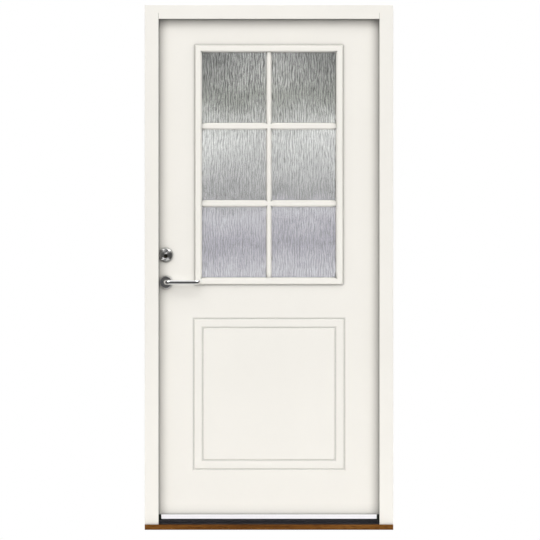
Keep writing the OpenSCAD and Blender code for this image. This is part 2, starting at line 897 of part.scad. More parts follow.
module outer_bar_post() bar_posts(y_glass_out, y_leaf - bead_proud + bar_drop, -1);
module outer_bar_rails() bar_rails(y_glass_out, y_leaf - bead_proud + bar_drop, -1);
module inner_bar_post() bar_posts(y_glass_in, y_in + bead_proud - bar_drop, 1);
module inner_bar_rails() bar_rails(y_glass_in, y_in + bead_proud - bar_drop, 1);

// Mortice lock: an open case with a cover, behind a forend in the leaf's edge

module latch_mouth(x0, x1, grow) {
    box([x0, y_mid - latch_w / 2 - grow, latch_z - latch_h / 2 - grow],
        [x1, y_mid + latch_w / 2 + grow, latch_z + latch_h / 2 + grow]);
}

module bolt_mouth(x0, x1, grow) {
    z1 = plug_z - bolt_top;
    box([x0, y_mid - bolt_w / 2 - grow, z1 - bolt_h - grow], [x1, y_mid + bolt_w / 2 + grow, z1 + grow]);
}

// Bores through the case for the follower, the cam and the bolts that pass it
module case_bores(y0, y1) {
    rod_y(lock_x, handle_z, hub_r + running_fit, y0, y1);
    rod_y(lock_x, plug_z, cam_r + running_fit, y0, y1);
    for (s = [-1, 1]) {
        rod_y(lock_x + s * rose_bolt_x, handle_z, bolt_hole_r, y0, y1);
        rod_y(lock_x + s * cylinder_bolt_x, cylinder_bolt_z, bolt_hole_r, y0, y1);
    }
}

module lock_case() {
    w = case_wall;
    z0 = handle_z - case_end;
    z1 = plug_z + case_end;
    color(steel) difference() {
        box([case_x0, case_y0, z0], [case_x1, case_y1 - w, z1]);
        box([case_x0 + w, case_y0 + w, z0 + w], [case_x1 - w, case_y1, z1 - w]);
        case_bores(case_y0 - through, case_y1);
        latch_mouth(case_x0 - through, case_x0 + w + through, sliding_fit);
        bolt_mouth(case_x0 - through, case_x0 + w + through, sliding_fit);
    }
}

module lock_case_cover() {
    color(steel) difference() {
        box([case_x0, case_y1 - case_wall, handle_z - case_end], [case_x1, case_y1, plug_z + case_end]);
        case_bores(case_y0, case_y1 + through);
    }
}

module forend_screws(grow = 0) {
    for (z = [handle_z - (forend_end + case_end) / 2, plug_z + (forend_end + case_end) / 2])
        translate([-leaf_x, y_mid, z]) screw(leaf_screw_len, grow);
}

module lock_forend() {
    color(steel) difference() {
        box([-leaf_x, y_mid - forend_w / 2, handle_z - forend_end],
            [case_x0, y_mid + forend_w / 2, plug_z + forend_end]);
        latch_mouth(-leaf_x - through, case_x0 + through, sliding_fit);
        bolt_mouth(-leaf_x - through, case_x0 + through, sliding_fit);
        forend_screws(fixed_fit);
    }
}

module leaf_screws() {
    color(steel) {
        for (z = hinge_zs) leaf_plate_screws(z);
        forend_screws();
    }
}

// The follower turns with the spindle, and its arm draws the latch back by the hook on its tail
module follower() {
    s = square_w + 2 * running_fit;
    color(steel) difference() {
        union() {
            rod_y(lock_x, handle_z, hub_r, case_y0, case_y1);
            box([lock_x - arm_w / 2, y_mid - arm_t / 2, handle_z],
                [lock_x + arm_w / 2, y_mid + arm_t / 2, handle_z + arm_reach]);
        }
        box([lock_x - s / 2, case_y0 - through, handle_z - s / 2],
            [lock_x + s / 2, case_y1 + through, handle_z + s / 2]);
    }
}

module latch_bolt() {
    y0 = y_mid - latch_w / 2;
    y1 = y_mid + latch_w / 2;
    tip = -leaf_x - latch_throw;
    rear = -leaf_x + latch_rear;
    hook = lock_x + arm_w / 2 + arm_play;
    color(steel) {
        along_z(latch_z - latch_h / 2, latch_z + latch_h / 2)
            polygon([[rear, y0], [rear, y1], [tip, y1], [tip, y1 - latch_w / 3], [-leaf_x - latch_land, y0]]);
        box([rear - through, y_mid - arm_t / 2, latch_z - tail_h / 2],
            [hook + tail_end, y_mid + arm_t / 2, latch_z + tail_h / 2]);
        box([hook, y_mid - arm_t / 2, handle_z + arm_reach - tail_end],
            [hook + tail_end, y_mid + arm_t / 2, latch_z]);
    }
}

// The cam's pin works in a notch of the dead bolt's tail, and a quarter turn throws the bolt
module bolt_cam() {
    d = cam_pin_reach / sqrt(2);
    s_w = tail_w + 2 * running_fit;
    s_t = tail_t + 2 * running_fit;
    color(steel) difference() {
        union() {
            rod_y(lock_x, plug_z, cam_r, case_y0, case_y1);
            translate([lock_x, 0, plug_z]) rotate([0, 45, 0])
                box([0, cam_plate_y, -cam_pin_r - 1],
                    [cam_pin_reach, cam_plate_y + cam_plate_t, cam_pin_r + 1]);
            rod_y(lock_x + d, plug_z - d, cam_pin_r + 1, cam_plate_y, cam_plate_y + cam_plate_t);
            rod_y(lock_x + d, plug_z - d, cam_pin_r, bolt_tail_y, cam_plate_y + cam_plate_t / 2);
        }
        rod_y(lock_x, plug_z, tail_pocket_r, case_y0 - through, y_mid);
        box([lock_x - s_t / 2, y_mid - through, plug_z - s_w / 2],
            [lock_x + s_t / 2, case_y1 + through, plug_z + s_w / 2]);
    }
}

module dead_bolt() {
    z1 = plug_z - bolt_top;
    front = -leaf_x + sliding_fit;
    rear = -leaf_x + bolt_rear;
    d = cam_pin_reach / sqrt(2);
    notch = lock_x + d;
    tail_top = plug_z - cam_r - cam_clear;
    color(steel) difference() {
        union() {
            box([front, y_mid - bolt_w / 2, z1 - bolt_h], [rear, y_mid + bolt_w / 2, z1]);
            box([rear - through, bolt_tail_y, z1 - bolt_h],
                [notch + cam_pin_r + 2 * tail_end, bolt_tail_y + bolt_tail_t, tail_top]);
        }
        box([notch - cam_pin_r - cam_play, bolt_tail_y - through, plug_z - cam_pin_reach - cam_pin_r - 1],
            [notch + cam_pin_r + cam_play, bolt_tail_y + bolt_tail_t + through, tail_top + through]);
    }
}

// Handles: roses screwed together through the leaf, and round-bar levers on a square spindle

module rose_disc(bore) {
    rotate_extrude() polygon([
        [bore, 0], [rose_r, 0], [rose_r, rose_edge], [rose_r - rose_slope, rose_t], [bore, rose_t]
    ]);
}

module outside_rose() {
    color(steel) difference() {
        translate([lock_x, y_leaf, handle_z]) rotate([90, 0, 0]) rose_disc(lever_r + running_fit);
        rose_bolts(fixed_fit);
    }
}

module inside_rose() {
    color(steel) difference() {
        translate([lock_x, y_in, handle_z]) rotate([-90, 0, 0]) rose_disc(lever_r + running_fit);
        rose_bolts(fixed_fit);
        for (s = [-1, 1]) bolt_head(lock_x + s * rose_bolt_x, handle_z, fixed_fit);
    }
}

module furniture_bolts() {
    color(steel) {
        rose_bolts();
        cylinder_bolts();
        for (s = [-1, 1]) {
            bolt_head(lock_x + s * rose_bolt_x, handle_z);
            bolt_head(lock_x + s * cylinder_bolt_x, cylinder_bolt_z);
        }
    }
}

// A lever standing out along -Y from a face at y = 0, pointing along +X, with its end turned back
module lever_bar() {
    grip_y = -lever_out;
    end_x = lever_reach - lever_r;
    translate([0, -sliding_fit, 0]) rotate([90, 0, 0])
        cylinder(r = lever_r, h = lever_out - lever_bend - sliding_fit);
    translate([lever_bend, grip_y + lever_bend, 0]) rotate([0, 0, 180])
        rotate_extrude(angle = 90) translate([lever_bend, 0]) circle(lever_r);
    translate([lever_bend, grip_y, 0]) rotate([0, 90, 0])
        cylinder(r = lever_r, h = end_x - return_bend - lever_bend);
    translate([end_x - return_bend, grip_y + return_bend, 0]) rotate([0, 0, 270])
        rotate_extrude(angle = 90) translate([return_bend, 0]) circle(lever_r);
    translate([end_x, grip_y + return_bend, 0]) rotate([-90, 0, 0]) cylinder(r = lever_r, h = return_len);
    translate([end_x, grip_y + return_bend + return_len, 0]) rotate([-90, 0, 0])
        cylinder(r1 = lever_r, r2 = lever_r - lever_tip, h = lever_tip);
}

module spindle_socket() {
    s = square_w + 2 * running_fit;
    box([-s / 2, -socket_d, -s / 2], [s / 2, through, s / 2]);
}

module outside_lever() {
    color(steel) translate([lock_x, y_leaf, handle_z]) difference() {
        lever_bar();
        spindle_socket();
    }
}

module inside_lever() {
    color(steel) translate([lock_x, y_in, handle_z]) mirror([0, 1, 0]) difference() {
        lever_bar();
        spindle_socket();
    }
}

module spindle() {
    reach = socket_d - 2;
    color(steel) box([lock_x - square_w / 2, y_leaf - reach, handle_z - square_w / 2],
                     [lock_x + square_w / 2, y_in + reach, handle_z + square_w / 2]);
}

// Key cylinder outside and thumb turn inside

module cylinder_ring() {
    color(steel) difference() {
        translate([lock_x, y_leaf, ring_z]) rotate([90, 0, 0]) rotate_extrude() polygon([
            [0, 0], [ring_r, 0], [ring_r, ring_edge], [ring_r - ring_slope, ring_t], [0, ring_t]
        ]);
        oval(y_leaf - ring_t - through, y_leaf + through, sliding_fit);
    }
}

module cylinder_body() {
    color(steel) difference() {
        oval(y_leaf - ring_t + cylinder_inset, case_y0);
        rod_y(lock_x, plug_z, plug_r + running_fit, y_leaf - ring_t, case_y0 + through);
        cylinder_bolts(fixed_fit);
    }
}

module key_plug() {
    front = y_leaf - ring_t + cylinder_inset + plug_inset;
    color(steel) difference() {
        union() {
            rod_y(lock_x, plug_z, plug_r, front, case_y0 - running_fit);
            box([lock_x - tail_t / 2, case_y0 - through, plug_z - tail_w / 2],
                [lock_x + tail_t / 2, y_mid - through, plug_z + tail_w / 2]);
        }
        box([lock_x - key_slot_w / 2, front - through, plug_z - key_slot_h / 2],
            [lock_x + key_slot_w / 2, front + key_slot_d, plug_z + key_slot_h / 2]);
    }
}

module turn_rose() {
    color(steel) difference() {
        translate([lock_x, y_in, ring_z]) rotate([-90, 0, 0]) rotate_extrude() polygon([
            [0, 0], [ring_r, 0], [ring_r, rose_edge], [ring_r - rose_slope, rose_t], [0, rose_t]
        ]);
        rod_y(lock_x, plug_z, turn_stem_r + running_fit, y_in - through, y_in + rose_t + through);
        cylinder_bolts(fixed_fit);
        for (s = [-1, 1]) bolt_head(lock_x + s * cylinder_bolt_x, cylinder_bolt_z, fixed_fit);
    }
}

module thumb_turn() {
    y0 = y_in + rose_t + sliding_fit;
    y1 = y0 + turn_collar_t;
    color(steel) {
        box([lock_x - tail_t / 2, y_mid + through, plug_z - tail_w / 2],
            [lock_x + tail_t / 2, y_in, plug_z + tail_w / 2]);
        rod_y(lock_x, plug_z, turn_stem_r, y_in - through, y0 + through);
        rod_y(lock_x, plug_z, turn_collar_r, y0, y1);
        intersection() {
            box([lock_x - turn_wing_t / 2, y1 - through, plug_z - turn_wing_r],
                [lock_x + turn_wing_t / 2, y1 + turn_wing_d, plug_z + turn_wing_r]);
            rod_y(lock_x, plug_z, turn_wing_r, y1 - 2 * through, y1 + turn_wing_d + through);
        }
    }
}

head();
lock_jamb();
hinge_jamb();
sill();
threshold_rail();
threshold_seal();
frame_seals();
strike_plate();
hinge_frame_half(hinge_zs[0]);  // hinge_top_frame_half
hinge_frame_half(hinge_zs[1]);  // hinge_middle_frame_half
hinge_frame_half(hinge_zs[2]);  // hinge_bottom_frame_half
hinge_pins();
frame_screws();
outer_skin();
inner_skin();
lock_stile();
hinge_stile();
top_rail();
bottom_rail();
insulation_core();
foot_profile();
drip_strip();
outer_pane();
middle_pane();
inner_pane();
pane_spacers();
glazing_seals();
setting_blocks();
outer_side_beads();
outer_cross_beads();
inner_side_beads();
inner_cross_beads();
outer_bar_post();
outer_bar_rails();
inner_bar_post();
inner_bar_rails();
glazing_screws();
lock_case();
lock_case_cover();
lock_forend();
outside_rose();
inside_rose();
cylinder_ring();
cylinder_body();
turn_rose();
furniture_bolts();
hinge_leaf_half(hinge_zs[0]);  // hinge_top_leaf_half
hinge_leaf_half(hinge_zs[1]);  // hinge_middle_leaf_half
hinge_leaf_half(hinge_zs[2]);  // hinge_bottom_leaf_half
leaf_screws();
outside_lever();
inside_lever();
spindle();
follower();
latch_bolt();
thumb_turn();
bolt_cam();
dead_bolt();
key_plug();
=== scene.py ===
"""Looks of a panelled front door in its frame: paint, rippled glass, chrome, hardwood and studio light."""

import json
import math

import bmesh
import bpy
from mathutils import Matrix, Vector, noise


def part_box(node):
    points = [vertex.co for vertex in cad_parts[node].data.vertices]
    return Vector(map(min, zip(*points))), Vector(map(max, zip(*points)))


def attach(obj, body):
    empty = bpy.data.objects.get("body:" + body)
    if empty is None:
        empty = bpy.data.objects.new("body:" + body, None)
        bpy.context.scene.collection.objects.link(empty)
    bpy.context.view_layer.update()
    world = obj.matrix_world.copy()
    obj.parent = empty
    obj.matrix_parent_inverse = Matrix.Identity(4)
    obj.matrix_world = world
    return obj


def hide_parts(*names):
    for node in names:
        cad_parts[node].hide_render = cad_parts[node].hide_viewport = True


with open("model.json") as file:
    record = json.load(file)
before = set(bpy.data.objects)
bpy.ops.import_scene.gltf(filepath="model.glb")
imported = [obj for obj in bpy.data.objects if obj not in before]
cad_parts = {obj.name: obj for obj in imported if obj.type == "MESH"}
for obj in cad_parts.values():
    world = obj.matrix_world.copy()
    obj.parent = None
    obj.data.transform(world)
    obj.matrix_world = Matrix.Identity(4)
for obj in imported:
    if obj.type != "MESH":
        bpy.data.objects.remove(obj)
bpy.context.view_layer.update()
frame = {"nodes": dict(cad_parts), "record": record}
nodes = frame["nodes"]
slots = {part["node"]: part["material_slot"] for part in frame["record"]["subparts"]}
scene = bpy.context.scene

WHITE = (1.0, 1.0, 1.0)

# Painted corner shade: rays cast from each point, and the openness from which nothing is darkened
CORNER_RAYS = 8
FULLY_OPEN = 0.95


def shade(color, factor):
    return tuple(c * factor for c in color)


# Node building blocks

class Tree:
    """A node tree, with short calls for the nodes that the materials and the world share."""

    def __init__(self, tree):
        self.tree = tree

    def add(self, kind, **values):
        node = self.tree.nodes.new(kind)
        for key, value in values.items():
            setattr(node, key, value)
        return node

    def link(self, source, target):
        self.tree.links.new(source, target)

    def put(self, value, socket):
        """Sets a socket to a number or a colour, or links another node's output to it."""
        if isinstance(value, (int, float)):
            socket.default_value = value
        elif isinstance(value, tuple):
            socket.default_value = (*value, 1.0)
        else:
            self.link(value, socket)

    def math(self, operation, *values):
        node = self.add("ShaderNodeMath", operation=operation)
        for socket, value in zip(node.inputs, values):
            self.put(value, socket)
        return node.outputs["Value"]

    def spread(self, value, low, high, start=0.0, end=1.0, kind="LINEAR"):
        """Maps a value between start and end to one between low and high."""
        node = self.add("ShaderNodeMapRange", interpolation_type=kind)
        for label, number in (("From Min", start), ("From Max", end), ("To Min", low), ("To Max", high)):
            node.inputs[label].default_value = number
        self.link(value, node.inputs["Value"])
        return node.outputs["Result"]

    def step(self, value, span, low=0.0, high=1.0):
        """Goes smoothly from low to high over a span of the value."""
        return self.spread(value, low, high, *span, kind="SMOOTHSTEP")

    def axes(self, vector):
        node = self.add("ShaderNodeSeparateXYZ")
        self.link(vector, node.inputs["Vector"])
        return node.outputs

    def mix_shader(self, factor, first, second):
        node = self.add("ShaderNodeMixShader")
        for socket, value in zip(node.inputs, (factor, first, second)):
            self.link(value, socket)
        return node.outputs["Shader"]


class Shader(Tree):
    """A material, with short calls for the patterns that the finishes share."""

    def __init__(self, name):
        self.material = bpy.data.materials.new(name)
        self.material.use_nodes = True
        super().__init__(self.material.node_tree)
        self.bsdf = self.tree.nodes["Principled BSDF"]
        self.place = self.add("ShaderNodeTexCoord").outputs["Object"]

    def set(self, **values):
        for key, value in values.items():
            self.bsdf.inputs[key.replace("_", " ")].default_value = value

    def noise(self, scale=1.0, detail=2.0, stretch=None, rough=0.5):
        """A noise pattern, even all round or stretched by a scale for each axis."""
        node = self.add("ShaderNodeTexNoise")
        for label, number in (("Scale", scale), ("Detail", detail), ("Roughness", rough)):
            node.inputs[label].default_value = number
        vector = self.place
        if stretch:
            mapping = self.add("ShaderNodeMapping")
            mapping.inputs["Scale"].default_value = stretch
            self.link(self.place, mapping.inputs["Vector"])
            vector = mapping.outputs["Vector"]
        self.link(vector, node.inputs["Vector"])
        return node.outputs["Fac"]

    def ramp(self, factor, stops):
        node = self.add("ShaderNodeValToRGB")
        band = node.color_ramp
        while len(band.elements) < len(stops):
            band.elements.new(0.5)
        for element, (position, color) in zip(band.elements, stops):
            element.position = position
            element.color = (*color, 1.0)
        self.link(factor, node.inputs["Fac"])
        return node.outputs["Color"]

    def shades(self, factor, color, *stops):
        """A ramp of lighter and darker shades of one colour."""
        return self.ramp(factor, [(position, shade(color, share)) for position, share in stops])

    def mix(self, factor, first, second, blend="MIX"):
        node = self.add("ShaderNodeMix", data_type="RGBA", blend_type=blend)
        sockets = [s for s in node.inputs if s.enabled]
        for socket, value in zip(sockets, (factor, first, second)):
            self.put(value, socket)
        return [s for s in node.outputs if s.enabled][0]

    def weighted(self, first, first_share, second, second_share):
        one = self.math("MULTIPLY", first, first_share)
        other = self.math("MULTIPLY", second, second_share)
        return self.math("ADD", one, other)

    def bump(self, height, strength, distance, normal=None):
        node = self.add("ShaderNodeBump")
        node.inputs["Strength"].default_value = strength
        node.inputs["Distance"].default_value = distance
        self.link(height, node.inputs["Height"])
        if normal:
            self.link(normal, node.inputs["Normal"])
        return node.outputs["Normal"]

    def painted_corner_shade(self, color, reach, start, deepest):
        """Darkens a colour in corners and under edges by ambient occlusion: painted shade where little
        light gets in.
        """
        node = self.add("ShaderNodeAmbientOcclusion", samples=CORNER_RAYS)
        node.inputs["Distance"].default_value = reach
        painted_shade = self.shades(node.outputs["AO"], WHITE, (start, deepest), (FULLY_OPEN, 1.0))
        return self.mix(1.0, color, painted_shade, "MULTIPLY")

    def finish(self, color=None, roughness=None, normal=None):
        for value, label in ((color, "Base Color"), (roughness, "Roughness"), (normal, "Normal")):
            if value:
                self.link(value, self.bsdf.inputs[label])
        return self.material


# Finishes

# Painted corner shade: its reach in metres, the openness at which it is deepest, and the shade there
WIDE_CORNER_SHADE = (0.045, 0.35, 0.45)
GROOVE_CORNER_SHADE = (0.010, 0.50, 0.60)
BEAD_CORNER_SHADE = (0.025, 0.60, 0.22)
DRIVE_CORNER_SHADE = (0.003, 0.45, 0.12)


def paint(name, color, grain=None, peel=0.05, shaded_corners=(WIDE_CORNER_SHADE,)):
    s = Shader(name)
    tone = s.shades(s.noise(scale=2.2, detail=3.0), color, (0.30, 0.985), (0.70, 1.01))
    # Painted shade in corners, in grooves and under edges
    for shaded_corner in shaded_corners:
        tone = s.painted_corner_shade(tone, *shaded_corner)
    normal = s.bump(s.noise(scale=520.0), strength=peel, distance=0.0004)
    if grain:
        lines = s.noise(detail=4.0, stretch=grain)
        normal = s.bump(lines, strength=0.06, distance=0.0006, normal=normal)
    roughness = s.spread(s.noise(scale=14.0, detail=3.0), low=0.34, high=0.46)
    return s.finish(tone, roughness, normal)


def hardwood(name):
    s = Shader(name)
    s.set(Specular_IOR_Level=0.06)
    lines = s.noise(detail=6.0, stretch=(3.0, 85.0, 85.0), rough=0.62)
    figure = s.noise(detail=3.0, stretch=(1.2, 16.0, 16.0))
    pores = s.noise(stretch=(38.0, 700.0, 700.0))
    tone = s.ramp(s.weighted(lines, 0.65, figure, 0.35), [
        (0.34, (0.085, 0.029, 0.005)), (0.50, (0.155, 0.058, 0.010)), (0.66, (0.235, 0.100, 0.022)),
    ])
    dark = s.ramp(pores, [(0.33, (0.45, 0.42, 0.40)), (0.46, WHITE)])
    color = s.mix(1.0, tone, dark, "MULTIPLY")
    grooves = s.bump(lines, strength=0.12, distance=0.0004)
    normal = s.bump(pores, strength=0.25, distance=0.0003, normal=grooves)
    return s.finish(color, s.spread(lines, low=0.62, high=0.48), normal)


def metal(name, color, low, high, brushed=None, shaded_corner=None):
    """Metal with a roughness between low and high, in smears, or in lines where it is brushed."""
    s = Shader(name)
    s.set(Metallic=1.0)
    smear = s.noise(scale=38.0, detail=4.0)
    tone = s.shades(smear, color, (0.25, 0.95), (0.75, 1.03))
    normal = None
    if brushed:
        lines = s.noise(detail=3.0, stretch=brushed)
        normal = s.bump(lines, strength=0.08, distance=0.0001)
    else:
        lines = s.noise(scale=160.0, detail=3.0)
    # Painted shade in hollows, where it is asked for
    if shaded_corner:
        tone = s.painted_corner_shade(tone, *shaded_corner)
    return s.finish(tone, s.spread(s.weighted(lines, 0.6, smear, 0.4), low, high), normal)


def turned_metal(name, color):
    """Metal turned on a lathe: its fine lines run round the axis, so highlights spread along the radius."""
    s = Shader(name)
    s.set(Metallic=1.0, Anisotropic=1.0, Anisotropic_Rotation=0.25)
    tangent = s.add("ShaderNodeTangent", direction_type="RADIAL", axis="Y")
    s.link(tangent.outputs["Tangent"], s.bsdf.inputs["Tangent"])
    smear = s.noise(scale=60.0, detail=4.0)
    tone = s.shades(smear, color, (0.25, 0.94), (0.75, 1.04))
    return s.finish(tone, s.spread(smear, low=0.36, high=0.44))


def powder_coat(name, color, rough):
    s = Shader(name)
    grains = s.noise(scale=900.0)
    tone = s.shades(s.noise(scale=5.0, detail=3.0), color, (0.3, 0.97), (0.7, 1.02))
    normal = s.bump(grains, strength=0.10, distance=0.0003)
    return s.finish(tone, s.spread(grains, rough - 0.06, rough + 0.06), normal)


def moulded(name, color, rough):
    s = Shader(name)
    grains = s.noise(scale=650.0, detail=3.0)
    tone = s.shades(s.noise(scale=20.0, detail=4.0), color, (0.25, 0.85), (0.75, 1.15))
    normal = s.bump(grains, strength=0.15, distance=0.0003)
    return s.finish(tone, s.spread(grains, rough - 0.08, rough + 0.08), normal)


def edged_pine(name, color, coat, inner_x, inner_z):
    """Pine with paint on the leaf's outer edges, which are the only faces in view."""
    s = Shader(name)
    rings = s.noise(detail=5.0, stretch=(60.0, 60.0, 2.5), rough=0.6)
    wood = s.shades(rings, color, (0.3, 0.72), (0.55, 1.0), (0.75, 1.12))
    place = s.axes(s.place)
    side = s.math("GREATER_THAN", s.math("ABSOLUTE", place["X"]), inner_x)
    top = s.math("GREATER_THAN", place["Z"], inner_z)
    tone = s.mix(s.math("MAXIMUM", side, top), wood, coat)
    normal = s.bump(rings, strength=0.05, distance=0.0004)
    return s.finish(tone, s.spread(rings, low=0.42, high=0.60), normal)


def clear_glass(name, color):
    s = Shader(name)
    s.set(Transmission_Weight=1.0, IOR=1.5)
    haze = s.noise(scale=6.0, detail=3.0)
    tone = s.shades(haze, color, (0.3, 0.985), (0.7, 1.0))
    return s.finish(tone, s.spread(haze, low=0.0, high=0.02))


# Grey tint of the obscure glass with painted reflection of the surroundings, from its foot to its top, and
# how deep its painted streak shade is there
TINT_AND_PAINTED_REFLECTION = [
    (0.04, (0.64, 0.62, 0.665)), (0.15, (0.495, 0.475, 0.525)), (0.29, (0.625, 0.605, 0.65)),
    (0.37, (0.47, 0.46, 0.47)), (0.62, (0.735, 0.725, 0.725)), (0.80, (0.375, 0.375, 0.355)),
    (0.88, (0.41, 0.405, 0.395)), (0.97, (0.36, 0.355, 0.35)),
]
STREAK_SHADE_DEPTHS = ((0.25, 0.34), (0.60, 0.50), (0.85, 0.92))

# How far the painted reflection moves up and down in patches, and from side to side
REFLECTION_DRIFT = 0.18
REFLECTION_LEAN = -0.04

# Painted reflection drifting from the post to the beads, from foot to top: 0 and 1 stand for the two slopes
SIDE_REFLECTION_SHARES = (
    (0.32, 0.27), (0.46, 0.05), (0.62, 0.05), (0.76, 0.27),
    (0.81, 0.50), (0.87, 0.90), (0.93, 1.0),
)
SIDE_REFLECTION_SLOPES = (-0.20, 0.54)


def rippled_glass(name, low_z, high_z, half_w):
    """Privacy glass: a grey tint with painted reflection of the surroundings drifting over the pane, and a
    painted light and a painted dark flank on each ripple.
    """
    s = Shader(name)
    s.set(Transmission_Weight=1.0, IOR=1.45)
    place = s.axes(s.place)
    # Painted reflection of the surroundings: tone that drifts with height, in patches and from side to side
    height = s.spread(place["Z"], 0.0, 1.0, low_z, high_z)
    reflection_drift = s.math("MULTIPLY", s.math("SUBTRACT", s.noise(scale=6.0), 0.5), REFLECTION_DRIFT)
    reflection_lean = s.math("MULTIPLY", place["X"], REFLECTION_LEAN)
    level = s.math("ADD", height, s.math("ADD", reflection_drift, reflection_lean))
    ripple = s.add("ShaderNodeAttribute", attribute_name="ripple").outputs["Fac"]
    shadow = s.add("ShaderNodeAttribute", attribute_name="shadow").outputs["Fac"]
    # Painted light and dark flanks of the ripples, and painted shade beside the beads and bars
    flank_shade = s.math("MULTIPLY", ripple, s.shades(level, WHITE, *STREAK_SHADE_DEPTHS))
    streak = s.math("MULTIPLY", s.math("ADD", 1.0, flank_shade), s.math("SUBTRACT", 1.0, shadow))
    # Painted reflection that drifts from the post to the beads
    across = s.math("SUBTRACT", 0.5, s.math("DIVIDE", s.math("ABSOLUTE", place["X"]), half_w))
    side_reflection = s.spread(s.shades(level, WHITE, *SIDE_REFLECTION_SHARES), *SIDE_REFLECTION_SLOPES)
    streak = s.math("MULTIPLY", streak, s.math("ADD", 1.0, s.math("MULTIPLY", side_reflection, across)))
    gray = s.add("ShaderNodeCombineColor")
    for channel in ("Red", "Green", "Blue"):
        s.link(streak, gray.inputs[channel])
    color = s.mix(1.0, s.ramp(level, TINT_AND_PAINTED_REFLECTION), gray.outputs["Color"], "MULTIPLY")
    return s.finish(color, s.spread(s.noise(scale=30.0), low=0.16, high=0.26))


CREAM = (0.875, 0.850, 0.795)
LEAF_CREAM = shade(CREAM, 0.99)
BEAD_CREAM = shade(CREAM, 1.005)
STEEL = (0.56, 0.56, 0.55)
DARK_ALUMINIUM = (0.060, 0.057, 0.062)

# Scale of brushed lines on each axis, small along the lines
BRUSHED_X = (4.0, 500.0, 500.0)
BRUSHED_Z = (300.0, 300.0, 6.0)

# Places in metres past which the pine is the leaf's painted edge
PAINTED_X = 0.4606
PAINTED_Z = 2.0556

finishes = {
    "frame_paint": paint("frame_paint", CREAM),
    "leaf_paint": paint("leaf_paint", LEAF_CREAM, peel=0.07, shaded_corners=(WIDE_CORNER_SHADE, GROOVE_CORNER_SHADE)),
    "bead_paint": paint("bead_paint", BEAD_CREAM, shaded_corners=(BEAD_CORNER_SHADE,)),
    "sill_wood": hardwood("sill_wood"),
    "dark_aluminium": metal("dark_aluminium", DARK_ALUMINIUM, low=0.30, high=0.48, brushed=BRUSHED_X),
    "dark_composite": moulded("dark_composite", (0.010, 0.012, 0.009), rough=0.55),
    "white_aluminium": powder_coat("white_aluminium", (0.93, 0.92, 0.95), rough=0.40),
    "black_rubber": moulded("black_rubber", (0.012, 0.012, 0.012), rough=0.70),
    "polished_chrome": metal("polished_chrome", (0.88, 0.88, 0.88), low=0.04, high=0.14),
    "satin_chrome": turned_metal("satin_chrome", (0.60, 0.60, 0.59)),
    "steel": metal("steel", STEEL, low=0.26, high=0.42, brushed=BRUSHED_Z),
    "glass": clear_glass("glass", (0.97, 0.985, 0.975)),
    "spacer_plastic": moulded("spacer_plastic", (0.10, 0.10, 0.105), rough=0.55),
    "pine": edged_pine("pine", (0.58, 0.36, 0.15), LEAF_CREAM, PAINTED_X, PAINTED_Z),
    "foam": moulded("foam", (0.78, 0.67, 0.36), rough=0.85),
}
for name, slot in slots.items():
    nodes[name].data.materials.clear()
    nodes[name].data.materials.append(finishes[slot])


# Finishes of single nodes: the plug, darkened as painted shade of its keyway, and frame members with the
# grain along their own length

grain_upright = paint("frame_paint_upright", CREAM, grain=(160.0, 160.0, 4.0))
grain_across = paint("frame_paint_across", CREAM, grain=(4.0, 160.0, 160.0))
single_finishes = {
    # The plug's near-black colour is painted shade of the recessed keyway
    "key_plug": metal("plug_brass_painted_shade", (0.10, 0.09, 0.07), low=0.35, high=0.55),
    "lock_jamb": grain_upright,
    "hinge_jamb": grain_upright,
    "head": grain_across,
}
for name, material in single_finishes.items():
    nodes[name].data.materials[0] = material


# Objects, and pieces that stand for CAD nodes

def new_object(name, data):
    obj = bpy.data.objects.new(name, data)
    scene.collection.objects.link(obj)
    return obj


def stand_for(piece, node, body):
    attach(piece, body)
    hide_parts(node)


def drop_normals(mesh):
    if "custom_normal" in mesh.attributes:
        mesh.attributes.remove(mesh.attributes["custom_normal"])


# Glazing bars: the post is slimmer than the rails, and the rails' joints follow it

POST_SHARE = 0.77
POST_MARGIN = 1e-5


def slim_bars(node):
    low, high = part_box("outer_bar_post")
    reach = (high.x - low.x) / 2.0 + POST_MARGIN
    mesh = nodes[node].data.copy()
    mesh.name = node + "_slim"
    for vert in mesh.vertices:
        if abs(vert.co.x) < reach:
            vert.co.x *= POST_SHARE
    drop_normals(mesh)
    mesh.shade_flat()
    stand_for(new_object(node + "_slim", mesh), node, "leaf")


for name in ("outer_bar_post", "outer_bar_rails", "inner_bar_post", "inner_bar_rails"):
    slim_bars(name)


# Rippled outer pane: a closed sheet with wavy upright reeds in its outer face

REED_PITCH = 0.0095
REED_DEPTH = 0.0008
FLAT_BORDER = 0.009
FADE_W = 0.004
STEP_X = 0.0014
STEP_Z = 0.0046
PANE_SHARP = math.radians(50.0)

# Width, height and layer of each noise in the pattern, and the share of each form
WANDER = (0.024, 0.040, 1.7)
STREAK = (0.0052, 0.026, 5.2)
FLECK = (0.0040, 0.011, 9.1)
WANDER_SHARE = 0.8
REED_SHARE = 0.55
STREAK_SHARE = 1.0
FLECK_SHARE = 0.6

# Shade on the glass beside what stands proud of it: its width, and its depth by beads and bars
SHADOW_W = 0.005
BEAD_SHADOW = 0.55
BAR_SHADOW = 0.30


def clamp(value, low, high):
    return max(low, min(high, value))


def patches(x, z, width, height, layer):
    return noise.noise(Vector((x / width, z / height, layer)))


def reed(x, z):
    """Height of the pattern from -1 to 1: upright reeds that wander, broken up by streaks and flecks."""
    wave = math.sin(2.0 * math.pi * (x / REED_PITCH + WANDER_SHARE * patches(x, z, *WANDER)))
    streak = patches(x, z, *STREAK)
    fleck = patches(x, z, *FLECK)
    return clamp(REED_SHARE * wave + STREAK_SHARE * streak + FLECK_SHARE * fleck, -1.0, 1.0)


